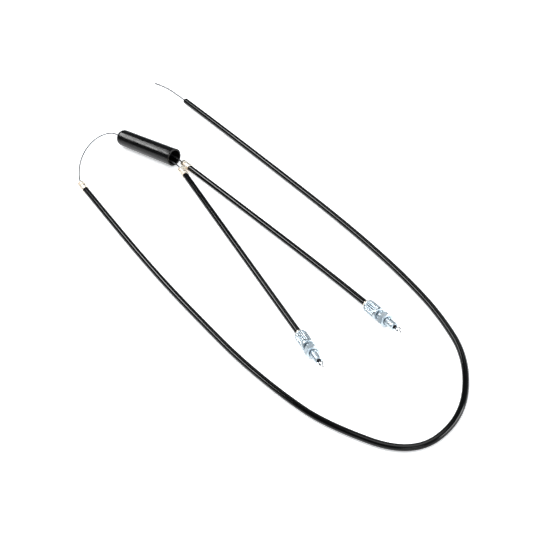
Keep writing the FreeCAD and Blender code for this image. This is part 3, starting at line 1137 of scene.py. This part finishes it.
# %% [markdown]
# ## Slider and drums
# The slider and the three drums sit in the junction tube, where hardly anything of them shows.
# They keep their working shapes and only take a finish.

# %% Finishes on the working pieces
WORKING_FINISHES = {
    "splitter_slider": slider_acetal,
    "pull_wire_nipple": drum_brass,
    "left_slider_nipple": drum_brass,
    "right_slider_nipple": drum_brass,
}
for name, finish in WORKING_FINISHES.items():
    node = frame["nodes"][name]
    node.data.materials.clear()
    node.data.materials.append(finish)
    print(name, "is", finish.name)

# %% [markdown]
# ## Floor
# The cable lies on a white table. The floor glows a little by itself, which keeps the shadows
# faint, as a light table does. A brighter lamp would do the same for the floor but would also
# wash out the metals.

# %% Floor
FLOOR_SIZE = 8.0
FLOOR_DROP = 0.0002
FLOOR_GLOW = 0.45
floor_bm = bmesh.new()
bmesh.ops.create_grid(floor_bm, x_segments=1, y_segments=1, size=FLOOR_SIZE)
bmesh.ops.translate(floor_bm, vec=(0, 0, -FLOOR_DROP), verts=floor_bm.verts)
floor_mesh = bpy.data.meshes.new("floor")
floor_bm.to_mesh(floor_mesh)
floor_bm.free()
floor_paper, tree, shader = start_finish(
    "white_paper",
    {
        "Base Color": linear("#f4f4f4"),
        "Roughness": 0.9,
        "Emission Color": linear("#ffffff"),
        "Emission Strength": FLOOR_GLOW,
    },
)
floor_mesh.materials.append(floor_paper)
floor = bpy.data.objects.new("floor", floor_mesh)
bpy.context.scene.collection.objects.link(floor)
print(floor.name, "in", floor_paper.name)

# %% [markdown]
# ## Room and lights
# The room is grey, darker on the dome's side and brighter on the adjusters' side. Five lights
# hang in it. One above fills everything, one low in front fills the metals, and the other three
# each make a streak: on the straight casings, on the bend, and a wide one low on the bend.

# %% Room and lights
PICTURE_GAMMA = 0.88
RING_DISTANCE = 1.8
RING_ELEVATION = 38.0
world = bpy.data.worlds.new("room")
world.use_nodes = True
tree = world.node_tree
direction = add(tree, "ShaderNodeTexCoord", {})
sideways = add(tree, "ShaderNodeSeparateXYZ", {"Vector": direction.outputs["Generated"]})
across = add(
    tree,
    "ShaderNodeMapRange",
    {"Value": sideways.outputs[0], "From Min": -1.0, "From Max": 1.0},
)
# the glow of the room, from its dark side to its bright side
GLOW = [(0.0, "#565e63"), (0.3, "#656d72"), (0.5, "#868f95"), (0.75, "#9aa3aa"), (1.0, "#b4bdc4")]
ramp = add(tree, "ShaderNodeValToRGB", {"Fac": across.outputs[0]})
stops = ramp.color_ramp.elements
stops[0].color, stops[1].color = linear(GLOW[0][1]), linear(GLOW[-1][1])
for share, code in GLOW[1:-1]:
    stops.new(share).color = linear(code)
room = tree.nodes["Background"]
room.inputs["Strength"].default_value = 1.0
tree.links.new(ramp.outputs[0], room.inputs["Color"])
bpy.context.scene.world = world
bpy.context.scene.view_settings.view_transform = "Standard"
bpy.context.scene.view_settings.gamma = PICTURE_GAMMA


def softbox(name, place, aim, width, height, power):
    """A rectangular light that looks at an aim."""
    light = bpy.data.lights.new(name, "AREA")
    light.shape = "RECTANGLE"
    light.size = width
    light.size_y = height
    light.energy = power
    lamp = bpy.data.objects.new(name, light)
    bpy.context.scene.collection.objects.link(lamp)
    turn = (Vector(aim) - Vector(place)).to_track_quat("-Z", "Y").to_matrix().to_4x4()
    lamp.matrix_world = Matrix.Translation(place) @ turn
    print(name, power, "W")


def ring_place(azimuth, elevation=RING_ELEVATION):
    """A place seen from the middle of the floor at an azimuth and an elevation, in degrees."""
    flat = RING_DISTANCE * math.cos(math.radians(elevation))
    turn = math.radians(azimuth)
    rise = RING_DISTANCE * math.sin(math.radians(elevation))
    return (flat * math.cos(turn), flat * math.sin(turn), rise)


softbox("streak_straight", ring_place(188), (0.05, 0, 0), width=1.2, height=0.24, power=14.0)
softbox("overhead", (0.0, 0.0, 2.0), (0, 0, 0), width=2.0, height=2.0, power=36.0)
softbox("front_low", ring_place(312, 20.0), (0.2, 0, 0), width=1.2, height=0.5, power=6.0)
softbox("streak_bend", ring_place(120), (0.1, 0, 0), width=1.0, height=0.16, power=1.5)
softbox("bend_low", ring_place(32, 8.5), (0.2, -0.05, 0), width=1.5, height=0.44, power=32.0)
